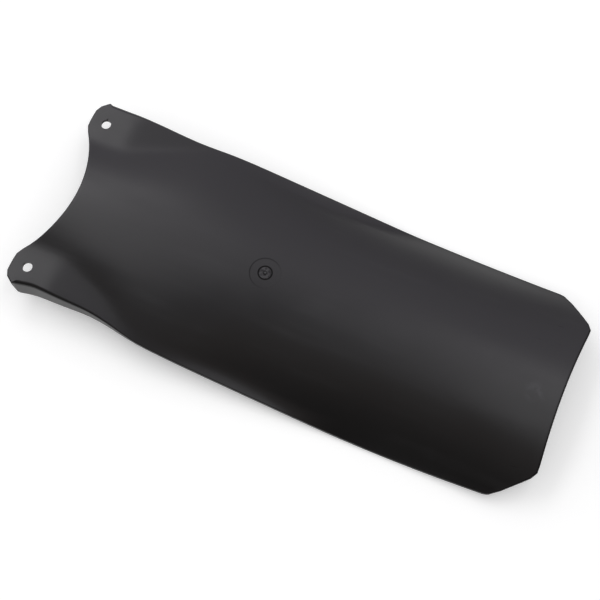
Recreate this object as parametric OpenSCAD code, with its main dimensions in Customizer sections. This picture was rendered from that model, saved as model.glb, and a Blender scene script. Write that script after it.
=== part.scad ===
// Shock mud flap: one moulded sheet, arched across its width, with two
// bolted ears at the narrow end and a wide free end with cut corners.
// Millimetres. X runs along the flap from the hole line to the free end,
// Y runs across it, Z is up on the convex side. The ears lie level at Z = 0.
// The long side at -Y is drawn in behind its ear, the other runs straight.

/* [Overall] */

// Hole line to the tips of the free end
reach = 335; // [330:1:350]
// Width across the middle of the long sides
width = 142; // [142:1:150]
// Thickness of the sheet
sheet = 2.2; // [1.8:0.1:2.8]

/* [Mounting ears] */

// Distance between the two bolt holes
hole_spacing = 108; // [106:1:112]
// Bolt hole, clearance for an M6 bolt
hole_d = 6.4; // [5.5:0.1:7]
// Length of ear ahead of the hole line
ear_front = 11.2; // [10:0.1:13]
// Level part of the ear behind the hole line
ear_level = 17.8; // [15:0.1:22]
// Fall of the ramp behind the ear, per millimetre of length
ramp_fall = 0.125; // [0.1:0.005:0.2]
// Depth of the turned-down wall at the outer side of each ear
ear_wall = 14; // [8:0.5:15]
// Where the wall has run out into the plain edge, from the hole line
wall_end = 79; // [60:1:85]
// Radius of the fold between ear and wall
fold_r = 2.6; // [2:0.1:3]
// Deepest point of the scoop between the ears, from the hole line
scoop = 7.2; // [4:0.1:10]
// How far the long side at -Y is drawn in behind its ear
draw_in = 4.6; // [0:0.1:6]

/* [Arch] */

// Height of the crown over the ears at the narrow end
crown_rise = 7; // [6:0.5:8]
// Depth of the arch towards the free end
arch_deep = 28.5; // [24:0.5:30]
// How much shallower the arch is behind the ears
arch_ease = 15.3; // [10:0.1:16]
// How much the arch opens out again at the free end
end_ease = 7.3; // [4:0.1:9]

/* [Free end] */

// Length of each cut corner along the flap
cut_long = 21.5; // [16:0.5:24]
// Width of each cut corner across the flap
cut_wide = 19.3; // [16:0.1:22]
// Hollow of the end edge
end_hollow = 3.9; // [2:0.1:6]
// Rounding where the long side meets the cut corner
side_round = 13; // [10:1:16]

/* [Gate mark] */

// Outer diameter of the ring groove left by the gate
gate_d = 9.4; // [8:0.2:11]
// Depth of the ring groove
gate_deep = 0.4; // [0.3:0.1:0.6]
// Diameter of the stub in its middle
stub_d = 2; // [1.6:0.1:2.6]
// Height of the stub
stub_high = 0.3; // [0.2:0.1:0.5]

/* [Hidden] */

// plan
half = width / 2;
widest_x = 180;
ear_taper = 1;
end_taper = 3.2;
waist = 1.5;
waist_x = 60;
waist_run = 25;
start_x = -0.41 * ear_front;
ear_corner = half - 1;
scoop_edge = hole_spacing / 2 - 6.2;
gate_x = 138;

// where the side is drawn in fully, and where it is back in line
draw_x = 38.5;
draw_run = 46.5;

// where the ear wall begins to lose depth
wall_full = 9;

// stations along the sides and across the flap
across = 34;
side_runs = 52;
round_runs = 6;

// smooth larger and smooth smaller of two values, s is the blend
function smax(a, b, s) = (a + b + sqrt((a - b) * (a - b) + s * s)) / 2;
function smin(a, b, s) = (a + b - sqrt((a - b) * (a - b) + s * s)) / 2;
function clamp01(t) = min(1, max(0, t));
function ease(t) = let (c = clamp01(t)) c * c * (3 - 2 * c);

// half width of the plan at x: widest past the middle, waisted behind the ears
function side_y(x) = half
    - (x < widest_x ? ear_taper * pow(1 - x / widest_x, 2)
                   : end_taper * pow((x - widest_x) / (reach - widest_x), 2))
    - waist * exp(-pow((x - waist_x) / waist_run, 2));

// sideways shift that draws in the long side at -Y
function drawn(x, y) = draw_in * ease((x + 16) / 28)
    * (1 - ease((x - draw_x) / draw_run)) * ease(-y / (0.42 * half) - 1);

// crown line and depth of the arch
crown_low = 3.5;
crown_x = 190;
ease_x = 72;
ease_run = 66;
end_ease_x = 240;
side_bow = 0.08;
function crown(x) = crown_low + (crown_rise - crown_low) * pow(x / crown_x - 1, 2);
function depth(x) = arch_deep - arch_ease * exp(-pow((x - ease_x) / ease_run, 2))
    - end_ease * pow(max(0, x - end_ease_x) / (reach - end_ease_x), 2);
function arch(x, y) = let (u = pow(y / side_y(x), 2))
    crown(x) - depth(x) * ((1 - side_bow) * u + side_bow * u * u);

// level ear with the ramp behind it, and how softly both creases turn
ramp_blend = 0.4;
crease_blend = 1.3;
function ear_plane(x) = -smax(0, ramp_fall * (x - ear_level), ramp_blend);
function top_z(x, y) = smax(arch(x, y), ear_plane(x), crease_blend);

// edge of the narrow end: scoop, flat ear end and slanting outer corner
function scoop_x(y) = scoop - (scoop + ear_front) * pow(y / scoop_edge, 2);
slant = 0.94;
ear_blend = 1.4;
corner_blend = 1.6;
function slant_x(y) = start_x + slant * (abs(y) - ear_corner);
function narrow_x(y) = smax(smax(scoop_x(y), -ear_front, ear_blend), slant_x(y), corner_blend);

// edge of the free end: hollow middle and straight cut corners
tip_y = side_y(reach - cut_long) - cut_wide;
cut_slope = cut_long / cut_wide;
function end_x(y) = reach - end_hollow * (1 - pow(y / tip_y, 2));
function corner_x(y) = reach - cut_slope * (abs(y) - tip_y);
function wide_x(y) = smin(end_x(min(abs(y), tip_y + 4)), corner_x(y), 2.4);

// rounding between long side and cut corner
corner_y = side_y(reach - cut_long);
cut_angle = atan2(cut_wide, cut_long);
tangent = side_round * tan(cut_angle / 2);
round_x = reach - cut_long - tangent;
round_y = corner_y - side_round;
mid_x = round_x + side_round * sin(cut_angle / 2);
mid_y = round_y + side_round * cos(cut_angle / 2);

start_y = side_y(start_x) - 0.9;

// points of the long side from the ear corner to the middle of the rounding
function side_pt(i) = i <= side_runs
    ? let (t = i / side_runs, s = t * (0.25 + 0.75 * t),
           x = start_x + (round_x - start_x) * s,
           dip = 0.9 * pow(max(0, 1 - (x - start_x) / 3), 2))
        [x, side_y(x) - dip + (corner_y - side_y(round_x)) * ease((s - 0.85) / 0.15)]
    : let (a = cut_angle / 2 * (i - side_runs) / round_runs)
        [round_x + side_round * sin(a), round_y + side_round * cos(a)];
side_n = side_runs + round_runs;

function narrow_pt(j) = let (t = 2 * j / across - 1, y = start_y * t)
    [abs(t) > 0.999 ? start_x : narrow_x(y), y];
function wide_pt(j) = let (t = 2 * j / across - 1, y = mid_y * t)
    [abs(t) > 0.999 ? mid_x : wide_x(y), y];

// closed outline: narrow end, far side, free end, near side
outline = concat(
    [for (j = [0 : across]) narrow_pt(j)],
    [for (i = [1 : side_n]) side_pt(i)],
    [for (j = [across - 1 : -1 : 0]) wide_pt(j)],
    [for (i = [side_n - 1 : -1 : 1]) let (p = side_pt(i)) [p[0], -p[1]]]);
ring = len(outline);

// inward direction at each outline point
function inward(k) = let (
    a = outline[(k + ring - 1) % ring], b = outline[(k + 1) % ring],
    d = [b[0] - a[0], b[1] - a[1]], n = norm(d)) [d[1] / n, -d[0] / n];
inwards = [for (k = [0 : ring - 1]) inward(k)];

// how much of the ear wall stands at an outline point
function walled(k) = let (p = outline[k])
    abs(p[1]) < 0.85 * half ? 0 : ease((p[0] - start_x) / 2)
        * clamp01((wall_end - p[0]) / (wall_end - wall_full));
function plain_bottom(k) = top_z(outline[k][0], outline[k][1]) - sheet - 0.3;
function bottom_z(k) = plain_bottom(k) - (ear_wall - sheet) * walled(k);

fold = [for (k = [0 : ring - 1]) 0.8 + (fold_r - 0.8) * walled(k)];
low = [for (k = [0 : ring - 1]) bottom_z(k)];
drop = [for (k = [0 : ring - 1]) top_z(outline[k][0], outline[k][1]) - low[k]];
lean = [for (k = [0 : ring - 1]) 0.1 * max(0, drop[k] - fold[k] - 1)];

function inset(k, d) = [outline[k][0] + inwards[k][0] * d,
                        outline[k][1] + inwards[k][1] * d];
function ring_pt(k, d, dz) = let (p = inset(k, d),
    q = inset(k, fold[k] + lean[k]))
    [p[0], p[1], top_z(q[0], q[1]) - dz];

fold_steps = 4;
top_ring = [for (k = [0 : ring - 1]) inset(k, fold[k] + lean[k])];
function fold_ring(m) = let (a = 90 * m / fold_steps)
    [for (k = [0 : ring - 1])
        ring_pt(k, lean[k] + fold[k] * (1 - sin(a)), fold[k] * (1 - cos(a)))];
foot_ring = [for (k = [0 : ring - 1]) let (p = outline[k])
    [p[0], p[1], min(low[k], ring_pt(k, 0, fold[k])[2] - 0.8)]];
inner_ring = [for (k = [0 : ring - 1]) let (p = inset(k, 1.3))
    [p[0], p[1], foot_ring[k][2] - 0.05]];
under_inset = [for (k = [0 : ring - 1]) inset(k, max(2.6, lean[k] + fold[k] + 0.4))];

// patch inside a ring of plan points: side by side blend of the four edges
function near_i(i) = i == 0 ? 0 : ring - i;
function far_i(i) = across + i;
function free_j(j) = across + side_n + (across - j);
function patch_pt(r, i, j) = let (
    a = r[0], b = r[across], c = r[free_j(0)], d = r[free_j(across)],
    v = j / across,
    w = clamp01((side_pt(i)[0] - start_x) / (mid_x - start_x)),
    l = r[j], q = r[free_j(j)], n = r[near_i(i) % ring], f = r[far_i(i)])
    (1 - w) * l + w * q + (1 - v) * n + v * f
    - (1 - w) * (1 - v) * a - (1 - w) * v * b - w * (1 - v) * c - w * v * d;

function thick_at(x, y) = let (e = 0.5,
    gx = (top_z(x + e, y) - top_z(x - e, y)) / (2 * e),
    gy = (top_z(x, y + e) - top_z(x, y - e)) / (2 * e))
    sheet * sqrt(1 + gx * gx + gy * gy);

inner_top = [for (i = [1 : side_n - 1], j = [1 : across - 1])
    let (p = patch_pt(top_ring, i, j)) [p[0], p[1], top_z(p[0], p[1])]];
inner_under = [for (i = [1 : side_n - 1], j = [1 : across - 1])
    let (p = patch_pt(under_inset, i, j))
    [p[0], p[1], top_z(p[0], p[1]) - thick_at(p[0], p[1])]];
top_edge = [for (k = [0 : ring - 1]) let (p = top_ring[k])
    [p[0], p[1], top_z(p[0], p[1])]];
under_edge = [for (k = [0 : ring - 1]) let (p = under_inset[k])
    [p[0], p[1], top_z(p[0], p[1]) - thick_at(p[0], p[1])]];

skin = concat(top_edge, fold_ring(1), fold_ring(2), fold_ring(3), fold_ring(4),
    foot_ring, inner_ring, under_edge, inner_top, inner_under);
rings = 8;
top_0 = rings * ring;
under_0 = top_0 + len(inner_top);

function edge_k(i, j) = j == 0 ? near_i(i) % ring
    : j == across ? far_i(i)
    : i == 0 ? j
    : free_j(j);
function is_edge(i, j) = i == 0 || j == 0 || i == side_n || j == across;
function top_k(i, j) = is_edge(i, j) ? edge_k(i, j)
    : top_0 + (i - 1) * (across - 1) + j - 1;
function under_k(i, j) = is_edge(i, j) ? (rings - 1) * ring + edge_k(i, j)
    : under_0 + (i - 1) * (across - 1) + j - 1;

top_faces = [for (i = [0 : side_n - 1], j = [0 : across - 1], h = [0, 1])
    h == 0 ? [top_k(i, j), top_k(i, j + 1), top_k(i + 1, j + 1)]
           : [top_k(i, j), top_k(i + 1, j + 1), top_k(i + 1, j)]];
under_faces = [for (i = [0 : side_n - 1], j = [0 : across - 1], h = [0, 1])
    h == 0 ? [under_k(i, j), under_k(i + 1, j + 1), under_k(i, j + 1)]
           : [under_k(i, j), under_k(i + 1, j), under_k(i + 1, j + 1)]];
rim_faces = [for (m = [0 : rings - 2], k = [0 : ring - 1], h = [0, 1])
    let (n = (k + 1) % ring, a = m * ring, b = a + ring)
    h == 0 ? [a + k, b + k, b + n] : [a + k, b + n, a + n]];

module sheet_skin() {
    polyhedron(points = [for (p = skin) [p[0], p[1] + drawn(p[0], p[1]), p[2]]],
        faces = concat(top_faces, under_faces, rim_faces), convexity = 6);
}

// ring groove round the gate, and the stub left inside it
module gate_ring() {
    translate([gate_x, 0, crown(gate_x) - gate_deep])
        difference() {
            cylinder(d = gate_d, h = 3, $fn = 48);
            translate([0, 0, -1])
                cylinder(d = gate_d - 1.6, h = 5, $fn = 48);
        }
}

module gate_stub() {
    translate([gate_x, 0, crown(gate_x) - 1])
        cylinder(d = stub_d, h = 1 + stub_high, $fn = 24);
}

module flap() {
    color([0.09, 0.09, 0.1])
    difference() {
        sheet_skin();
        for (s = [-1, 1])
            translate([0, s * hole_spacing / 2, -8])
                cylinder(d = hole_d, h = 16, $fn = 64);
        gate_ring();
    }
    color([0.09, 0.09, 0.1])
    gate_stub();
}

flap();
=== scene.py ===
"""Looks of the shock mud flap: one satin black moulding on a white floor."""

import math

import bpy
import numpy as np
from mathutils import Matrix, Vector


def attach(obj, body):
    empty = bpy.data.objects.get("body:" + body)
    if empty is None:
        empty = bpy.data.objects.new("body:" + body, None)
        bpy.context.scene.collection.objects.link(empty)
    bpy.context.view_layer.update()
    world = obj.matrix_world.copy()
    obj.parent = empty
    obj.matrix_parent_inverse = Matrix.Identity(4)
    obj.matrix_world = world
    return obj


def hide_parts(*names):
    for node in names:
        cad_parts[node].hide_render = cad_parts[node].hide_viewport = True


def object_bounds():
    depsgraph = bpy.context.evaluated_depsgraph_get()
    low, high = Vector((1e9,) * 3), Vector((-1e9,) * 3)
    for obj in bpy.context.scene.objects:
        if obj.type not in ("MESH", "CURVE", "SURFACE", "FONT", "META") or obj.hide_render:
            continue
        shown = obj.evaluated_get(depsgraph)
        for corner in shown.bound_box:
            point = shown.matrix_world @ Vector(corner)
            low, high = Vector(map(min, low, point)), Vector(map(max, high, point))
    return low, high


MM = 0.001

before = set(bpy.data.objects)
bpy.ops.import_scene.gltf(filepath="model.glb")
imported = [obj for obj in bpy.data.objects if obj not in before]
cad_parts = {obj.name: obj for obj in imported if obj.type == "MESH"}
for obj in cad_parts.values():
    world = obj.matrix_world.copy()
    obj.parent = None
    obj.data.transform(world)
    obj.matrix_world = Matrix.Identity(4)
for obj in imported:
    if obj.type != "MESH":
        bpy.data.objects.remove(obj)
size_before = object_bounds()


# The moulding

MERGE = 0.01 * MM
SMOOTH_BELOW = math.radians(38)


def take(piece):
    """Makes the piece the only one picked."""
    bpy.ops.object.select_all(action="DESELECT")
    piece.select_set(True)
    bpy.context.view_layer.objects.active = piece


def mould_skin():
    """The moulding's skin: the solid's own faces, joined and shaded as one."""
    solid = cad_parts["flap"]
    skin = solid.copy()
    skin.data = solid.data.copy()
    skin.name = "flap_skin"
    bpy.context.scene.collection.objects.link(skin)
    take(skin)
    bpy.ops.object.mode_set(mode="EDIT")
    bpy.ops.mesh.select_all(action="SELECT")
    bpy.ops.mesh.remove_doubles(threshold=MERGE)
    bpy.ops.object.mode_set(mode="OBJECT")
    bpy.ops.object.shade_smooth_by_angle(angle=SMOOTH_BELOW)
    even = skin.modifiers.new("even_shading", "WEIGHTED_NORMAL")
    even.keep_sharp = True
    bpy.ops.object.modifier_apply(modifier=even.name)
    return skin


# The gate mark in the middle of the crown

GATE_X = 138 * MM
GATE_CALM = 12 * MM
RING_CLEAR = 5 * MM
TOP_SIDE = 0.9


def off_gate_by(place):
    """Distance in plan from the gate's middle."""
    return math.hypot(place.x - GATE_X, place.y)


def crown_form(spots):
    """The crown round the gate: its height, slopes along X and Y, bend, twist and bend."""
    x = np.array([spot.x - GATE_X for spot in spots])
    y = np.array([spot.y for spot in spots])
    z = np.array([spot.z for spot in spots])
    terms = np.stack([np.ones_like(x), x, y, x * x, x * y, y * y], axis=1)
    return np.linalg.lstsq(terms, z, rcond=None)[0]


def calm_gate(skin):
    """Shades the crown round the gate as one smooth form across the ring's cut."""
    mesh = skin.data
    top_faces = [face for face in mesh.polygons if face.normal.z > TOP_SIDE]
    corners = {i for face in top_faces for i in face.vertices}
    spots = [mesh.vertices[i].co for i in sorted(corners)]
    spots = [spot for spot in spots if RING_CLEAR < off_gate_by(spot) < 2 * GATE_CALM]
    slope_x, slope_y, bend_x, twist, bend_y = crown_form(spots)[1:]

    normals = [Vector(corner.vector) for corner in mesh.corner_normals]
    for face in top_faces:
        for corner in face.loop_indices:
            place = mesh.vertices[mesh.loops[corner].vertex_index].co
            if off_gate_by(place) < GATE_CALM:
                x = place.x - GATE_X
                y = place.y
                rise = slope_x + 2 * bend_x * x + twist * y
                bank = slope_y + twist * x + 2 * bend_y * y
                normals[corner] = Vector((-rise, -bank, 1)).normalized()
    mesh.normals_split_custom_set(normals)


# Short ways to build a material

class Nodes:
    """A material's node tree, with a short way to add and link nodes."""

    def __init__(self, owner):
        owner.use_nodes = True
        self.tree = owner.node_tree

    def add(self, kind, settings=(), **inputs):
        """Adds a node; an input named Some_Name feeds the socket Some Name."""
        node = self.tree.nodes.new(kind)
        for name, value in dict(settings).items():
            setattr(node, name, value)
        for name, value in inputs.items():
            self.feed(node, name.replace("_", " "), value)
        return node

    def feed(self, node, name, value):
        """Links or sets an input; #2 is the third one, for inputs that share a name."""
        socket = node.inputs[int(name[1:])] if name[0] == "#" else node.inputs[name]
        if isinstance(value, bpy.types.NodeSocket):
            self.tree.links.new(value, socket)
        else:
            socket.default_value = value

    def math(self, operation, first, second=0.0):
        node = self.add("ShaderNodeMath", {"operation": operation})
        self.feed(node, "#0", first)
        self.feed(node, "#1", second)
        return node.outputs[0]

    def times(self, first, second):
        return self.math("MULTIPLY", first, second)

    def less(self, first, second):
        return self.math("SUBTRACT", first, second)

    def noise(self, place, scale, detail):
        node = self.add("ShaderNodeTexNoise", Vector=place, Scale=scale, Detail=detail)
        return node.outputs[0]

    def drawn_out(self, place, stretch, detail):
        """Noise with its own fineness along each axis."""
        node = self.add("ShaderNodeMapping", Vector=place, Scale=stretch)
        return self.noise(node.outputs[0], 1.0, detail)

    def span(self, value, low, high, to_low=0.0, to_high=1.0):
        """Maps low..high softly to to_low..to_high."""
        node = self.add("ShaderNodeMapRange", {"interpolation_type": "SMOOTHSTEP"})
        for name, number in (("Value", value), ("From Min", low), ("From Max", high),
                             ("To Min", to_low), ("To Max", to_high)):
            self.feed(node, name, number)
        return node.outputs[0]

    def within(self, reach, radius, soft):
        """1 inside the radius and 0 outside, with a soft rim."""
        return self.span(reach, radius, radius + soft, 1.0, 0.0)

    def blend(self, factor, first, second):
        node = self.add("ShaderNodeMix", {"data_type": "RGBA"})
        self.feed(node, "#0", factor)
        self.feed(node, "#6", first)
        self.feed(node, "#7", second)
        return node.outputs[2]

    def flat_distance(self, place, centre):
        """Distance in plan from a centre to the shaded point."""
        away = self.add("ShaderNodeVectorMath", {"operation": "SUBTRACT"})
        self.feed(away, "#0", place)
        self.feed(away, "#1", centre)
        flat = self.add("ShaderNodeVectorMath", {"operation": "MULTIPLY"})
        self.feed(flat, "#0", away.outputs[0])
        self.feed(flat, "#1", (1.0, 1.0, 0.0))
        reach = self.add("ShaderNodeVectorMath", {"operation": "LENGTH"})
        self.feed(reach, "#0", flat.outputs[0])
        return reach.outputs["Value"]


# Finish of the moulding. A name that ends in FINE is a pattern's fineness per metre. One
# that ends in AT is where a mask starts on its pattern, and where it is full.

BLACK = (0.0068, 0.0064, 0.0064, 1)
BLACK_WORN = (0.011, 0.0107, 0.011, 1)
EDGE_GREY = (0.02, 0.02, 0.021, 1)
PIP_GREY = (0.045, 0.045, 0.046, 1)
PALE_PATCH_GREY = (0.022, 0.022, 0.024, 1)

CLOUD_FINE = 16.0
STREAK_FINE = (7.0, 90.0, 90.0)
WORN_STREAK_AT = (0.5, 0.75)
WORN_CLOUD_AT = (0.4, 0.7)
EDGE_TURN_AT = (0.56, 0.66)
EDGE_CLOUD_AT = (0.35, 0.65)
EDGE_LEAST = 0.35

PLASTIC_IOR = 1.47
SATIN = (0.29, 0.35)
SATIN_CLOUD_AT = (0.3, 0.7)
DULL_STREAK_AT = (0.55, 0.8)
STREAK_DULL = 0.05
SPECK_FINE = 420.0
SPECK_AT = (0.68, 0.8)
SPECK_DULL = 0.06
PLAIN_SHEEN = 0.5
GRAIN_FINE = 1900.0
GRAIN_DEEP = 0.03 * MM
GRAIN_STRONG = 0.35

# A paler, broken patch near the free end.
PALE_PATCH = (0.3155, -0.0055, 0.0)
PALE_PATCH_R = 9 * MM
PALE_PATCH_FINE = 170.0
PALE_PATCH_AT = (0.42, 0.62)
SCUFFS_X_AT = (0.27, 0.3)
SCUFF_FINE = (90.0, 900.0, 90.0)
SCUFF_AT = (0.66, 0.72)
SCUFF_CLOUD_AT = (0.5, 0.6)
SCUFF_DARK = 0.14
# Painted shade on the turned edges towards the free end.
RIM_X_AT = (0.18, 0.24)
RIM_TURN_AT = (0.503, 0.525)
RIM_PAINTED_SHADE = 0.45

UPPER_Z_AT = (2.2 * MM, 2.7 * MM)
SOFT = 0.15 * MM
RING_IN = 3.9 * MM
RING_OUT = 4.7 * MM
# Painted shade in the ring's groove and round the stub.
RING_PAINTED_SHADE = 0.42
STUB_R = 1.0 * MM
PIP_R = 0.45 * MM
MIDDLE_FINE = 700.0
MIDDLE_AT = (0.38, 0.62)
MIDDLE_SHEEN = (-0.175, 0.25)
WITNESS_R = 9.7 * MM
WITNESS_WIDE = 0.7 * MM
WITNESS_SLANT = 0.53
# Painted shade on the witness ring, from its darkest side to its faintest.
WITNESS_PAINTED_SHADE = (0.3, 0.03)
WITNESS_DEEP = 0.1 * MM
WITNESS_STRONG = 0.15


class Ground:
    """What the layers of the finish share: places on the moulding and its unevenness."""

    def __init__(self, n):
        self.place = n.add("ShaderNodeTexCoord").outputs["Object"]
        axes = n.add("ShaderNodeSeparateXYZ", Vector=self.place).outputs
        self.x = axes["X"]
        self.y = axes["Y"]
        self.upper = n.span(axes["Z"], *UPPER_Z_AT)
        self.cloud = n.noise(self.place, CLOUD_FINE, detail=4.0)
        self.streak = n.drawn_out(self.place, STREAK_FINE, detail=3.0)
        self.turn = n.add("ShaderNodeNewGeometry").outputs["Pointiness"]
        self.off_gate = n.flat_distance(self.place, (GATE_X, 0.0, 0.0))
        off_witness = n.math("ABSOLUTE", n.less(self.off_gate, WITNESS_R))
        self.witness = n.times(n.within(off_witness, 0.0, WITNESS_WIDE), self.upper)


def colour_of(n, ground):
    """Black, paler where it is worn, rubbed at the edges, in a broken patch near the free
    end, and at the pip.
    """
    worn = n.times(n.span(ground.streak, *WORN_STREAK_AT),
                   n.span(ground.cloud, *WORN_CLOUD_AT))
    colour = n.blend(worn, BLACK, BLACK_WORN)

    patchy = n.span(ground.cloud, *EDGE_CLOUD_AT, EDGE_LEAST, 1.0)
    rubbed = n.times(n.span(ground.turn, *EDGE_TURN_AT), patchy)
    colour = n.blend(rubbed, colour, EDGE_GREY)

    # A paler, broken patch near the free end.
    blot = n.within(n.flat_distance(ground.place, PALE_PATCH), 0.0, PALE_PATCH_R)
    broken = n.span(n.noise(ground.place, PALE_PATCH_FINE, detail=3.0), *PALE_PATCH_AT)
    colour = n.blend(n.times(blot, broken), colour, PALE_PATCH_GREY)

    pip = n.times(n.within(ground.off_gate, PIP_R, SOFT), ground.upper)
    return n.blend(pip, colour, PIP_GREY)


def roughness_of(n, ground):
    """Uneven satin, duller along the streaks and at the specks."""
    satin = n.span(ground.cloud, *SATIN_CLOUD_AT, *SATIN)
    streaks = n.span(ground.streak, *DULL_STREAK_AT, 0.0, STREAK_DULL)
    speck = n.noise(ground.place, SPECK_FINE, detail=2.0)
    specks = n.span(speck, *SPECK_AT, 0.0, SPECK_DULL)
    return n.math("ADD", n.math("ADD", satin, streaks), specks)


def gate_marks(n, ground):
    """Change of sheen at the gate: painted shade in the ring's groove and round the stub,
    mottled middle, and painted shade on the witness ring, most on one side.
    """
    # Painted shade: sheen is lowered in the ring's groove and in a thin ring round the
    # stub.
    ring = n.times(n.span(ground.off_gate, RING_IN - SOFT, RING_IN),
                   n.within(ground.off_gate, RING_OUT, SOFT))
    stub = n.times(n.span(ground.off_gate, STUB_R - SOFT, STUB_R),
                   n.within(ground.off_gate, STUB_R + SOFT, SOFT))
    ring_and_stub_shade = n.times(n.math("MAXIMUM", ring, stub), RING_PAINTED_SHADE)

    middle = n.within(ground.off_gate, RING_IN - SOFT, SOFT)
    mottle = n.noise(ground.place, MIDDLE_FINE, detail=2.0)
    mottle = n.times(middle, n.span(mottle, *MIDDLE_AT, *MIDDLE_SHEEN))

    # Painted shade on the witness ring: sheen is lowered most on the side towards the left
    # soft box, fading across the ring.
    slant = n.less(ground.x, n.times(ground.y, WITNESS_SLANT))
    witness_shade = n.span(slant, GATE_X - WITNESS_R, GATE_X + WITNESS_R, *WITNESS_PAINTED_SHADE)
    witness = n.times(ground.witness, witness_shade)
    return n.less(n.less(mottle, ring_and_stub_shade), witness)


def sheen_of(n, ground):
    """Plain sheen with the gate's marks, less at the scuffs, and lowered at the free end's
    turned rim as painted shade.
    """
    sheen = n.math("ADD", PLAIN_SHEEN, n.times(gate_marks(n, ground), ground.upper))

    lines = n.span(n.drawn_out(ground.place, SCUFF_FINE, detail=3.0), *SCUFF_AT)
    lines = n.times(lines, n.span(ground.cloud, *SCUFF_CLOUD_AT))
    scuffs = n.times(lines, n.span(ground.x, *SCUFFS_X_AT))
    sheen = n.less(sheen, n.times(scuffs, SCUFF_DARK))

    # Painted shade: sheen is lowered on the turned edges towards the free end, to darken
    # them.
    rim_shade = n.times(n.span(ground.turn, *RIM_TURN_AT, 0.0, RIM_PAINTED_SHADE),
                  n.span(ground.x, *RIM_X_AT))
    return n.math("MAXIMUM", n.less(sheen, rim_shade), 0.0)


def relief_of(n, ground):
    """The witness ring's faint step and the fine grain over it."""
    raised = n.add("ShaderNodeBump", Strength=WITNESS_STRONG, Distance=WITNESS_DEEP,
                   Height=ground.witness)
    grain = n.noise(ground.place, GRAIN_FINE, detail=3.0)
    grained = n.add("ShaderNodeBump", Strength=GRAIN_STRONG, Distance=GRAIN_DEEP,
                    Height=grain, Normal=raised.outputs[0])
    return grained.outputs[0]


def satin_black():
    """Black moulded plastic: fine grain, uneven satin, faint streaks, rubbed edges."""
    mat = bpy.data.materials.new("satin_black_moulding")
    n = Nodes(mat)
    ground = Ground(n)
    shader = n.tree.nodes["Principled BSDF"]
    shader.inputs["IOR"].default_value = PLASTIC_IOR
    n.feed(shader, "Base Color", colour_of(n, ground))
    n.feed(shader, "Roughness", roughness_of(n, ground))
    n.feed(shader, "Specular IOR Level", sheen_of(n, ground))
    n.feed(shader, "Normal", relief_of(n, ground))
    return mat


# Floor. The lifts bring it up to white where it is seen, most of all far from the flap.

FLOOR_HALF = 6.0
FLOOR_BELOW = 0.2 * MM
FLOOR_WHITE = (0.93, 0.93, 0.93, 1)
WHITE = (1, 1, 1, 1)
NEAR_LIFT = 0.2
FAR_LIFT = 0.8
GLOSS_LIFT = 0.1
FAR_AT = (0.6, 2.0)


def white_floor():
    """White paper that takes the object's shadow, and is clear when seen from below."""
    mat = bpy.data.materials.new("white_floor")
    n = Nodes(mat)
    n.tree.nodes.clear()
    paper = n.add("ShaderNodeBsdfDiffuse", Color=FLOOR_WHITE)
    place = n.add("ShaderNodeTexCoord").outputs["Object"]
    away = n.flat_distance(place, (0.0, 0.0, 0.0))
    path = n.add("ShaderNodeLightPath").outputs
    seen = n.times(n.span(away, *FAR_AT, NEAR_LIFT, FAR_LIFT), path["Is Camera Ray"])
    mirrored = n.math("MAXIMUM", path["Is Glossy Ray"], path["Is Transmission Ray"])
    lift = n.math("MAXIMUM", seen, n.times(mirrored, GLOSS_LIFT))
    glow = n.add("ShaderNodeEmission", Color=WHITE, Strength=lift)
    lit = n.add("ShaderNodeAddShader")
    n.feed(lit, "#0", paper.outputs[0])
    n.feed(lit, "#1", glow.outputs[0])
    clear = n.add("ShaderNodeBsdfTransparent")
    sided = n.add("ShaderNodeMixShader")
    n.feed(sided, "#0", n.add("ShaderNodeNewGeometry").outputs["Backfacing"])
    n.feed(sided, "#1", lit.outputs[0])
    n.feed(sided, "#2", clear.outputs[0])
    n.add("ShaderNodeOutputMaterial", Surface=sided.outputs[0])
    return mat


def lay_floor(low):
    bpy.ops.mesh.primitive_plane_add(size=2 * FLOOR_HALF, location=(0, 0, low))
    floor = bpy.context.object
    floor.name = "floor"
    floor.data.materials.append(white_floor())


skin = mould_skin()
calm_gate(skin)
skin.data.materials.clear()
skin.data.materials.append(satin_black())
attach(skin, "root")
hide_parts("flap")
lay_floor(size_before[0][2] - FLOOR_BELOW)


# Camera, as the photograph was taken

LENS = 69.0
SENSOR = 36
CAMERA_PLACE = Vector((0.26685, -0.21793, 0.66437))
CAMERA_RIGHT = Vector((0.915268, 0.402627, -0.013252))
CAMERA_UP = Vector((-0.375604, 0.864804, 0.33322))


def place_camera():
    data = bpy.data.cameras.new("camera")
    camera = bpy.data.objects.new("camera", data)
    bpy.context.scene.collection.objects.link(camera)
    data.lens = LENS
    data.sensor_width = SENSOR
    axes = Matrix((CAMERA_RIGHT, CAMERA_UP, CAMERA_RIGHT.cross(CAMERA_UP)))
    camera.matrix_world = Matrix.Translation(CAMERA_PLACE) @ axes.transposed().to_4x4()
    bpy.context.scene.camera = camera


place_camera()


# Light: two soft boxes that hang over the flap and face straight down

BOX_HIGH = 1.1


def soft_box(name, x, y, width, length, power):
    data = bpy.data.lights.new(name, "AREA")
    data.shape = "RECTANGLE"
    data.size = width
    data.size_y = length
    data.energy = power
    lamp = bpy.data.objects.new(name, data)
    bpy.context.scene.collection.objects.link(lamp)
    lamp.location = (x, y, BOX_HIGH)


soft_box("left_box", -0.5, 0.35, width=0.45, length=1.0, power=3.39)
soft_box("right_box", 0.4, 0.2, width=0.3, length=1.1, power=1.56)


# The studio round the flap. Each row is how far a direction points to +Y, from -1 to 1,
# with the brightness there and its tint.

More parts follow.
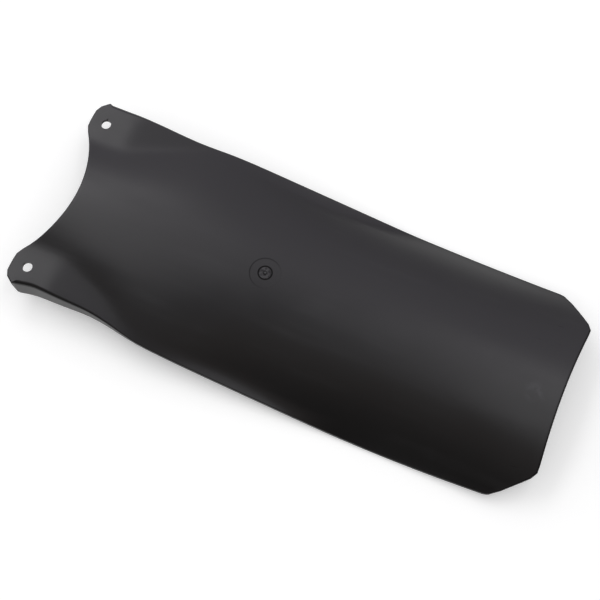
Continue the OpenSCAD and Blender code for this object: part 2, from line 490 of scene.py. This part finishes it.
WARM = (1.1, 0.98, 0.94)
COOL = (1.0, 0.96, 1.07)
STUDIO = ((-0.98, 0.01, WARM), (-0.85, 0.04, WARM), (-0.7, 0.13, WARM),
          (-0.56, 0.25, WARM), (-0.4, 0.29, WARM), (-0.2, 0.31, COOL),
          (0.0, 0.4, COOL), (0.2, 0.62, COOL), (0.4, 0.9, COOL),
          (0.7, 1.02, COOL), (0.9, 0.82, COOL), (0.99, 0.4, COOL))
AMBIENT = (0.7, 0.7, 0.7, 1)


def along_ramp(y):
    """The place on the ramp, 0 to 1, of a direction's Y."""
    return (y + 1) / 2


def studio_ramp(n):
    """The studio's brightness in each direction, as the flap reflects it."""
    way = n.add("ShaderNodeTexCoord").outputs["Generated"]
    y = n.add("ShaderNodeSeparateXYZ", Vector=way).outputs["Y"]
    ramp = n.add("ShaderNodeValToRGB")
    n.feed(ramp, "Fac", n.add("ShaderNodeMapRange", Value=y,
                              From_Min=-1.0, From_Max=1.0).outputs[0])
    stops = ramp.color_ramp.elements
    stops[0].position = along_ramp(STUDIO[0][0])
    stops[1].position = along_ramp(STUDIO[-1][0])
    for row in STUDIO[1:-1]:
        stops.new(along_ramp(row[0]))
    for stop, (_, bright, tint) in zip(stops, STUDIO):
        stop.color = [bright * part for part in tint] + [1]
    return ramp.outputs["Color"]


def studio_world():
    """White all round as seen; its near side is dark in what the flap reflects."""
    world = bpy.data.worlds.new("studio")
    bpy.context.scene.world = world
    n = Nodes(world)
    n.tree.nodes.clear()
    path = n.add("ShaderNodeLightPath").outputs
    light = n.blend(path["Is Diffuse Ray"], studio_ramp(n), AMBIENT)
    around = n.add("ShaderNodeBackground", Color=light)
    white = n.add("ShaderNodeBackground", Color=WHITE, Strength=1.0)
    mix = n.add("ShaderNodeMixShader")
    n.feed(mix, "#0", path["Is Camera Ray"])
    n.feed(mix, "#1", around.outputs[0])
    n.feed(mix, "#2", white.outputs[0])
    n.add("ShaderNodeOutputWorld", Surface=mix.outputs[0])


studio_world()

bpy.context.scene.view_settings.view_transform = "Standard"
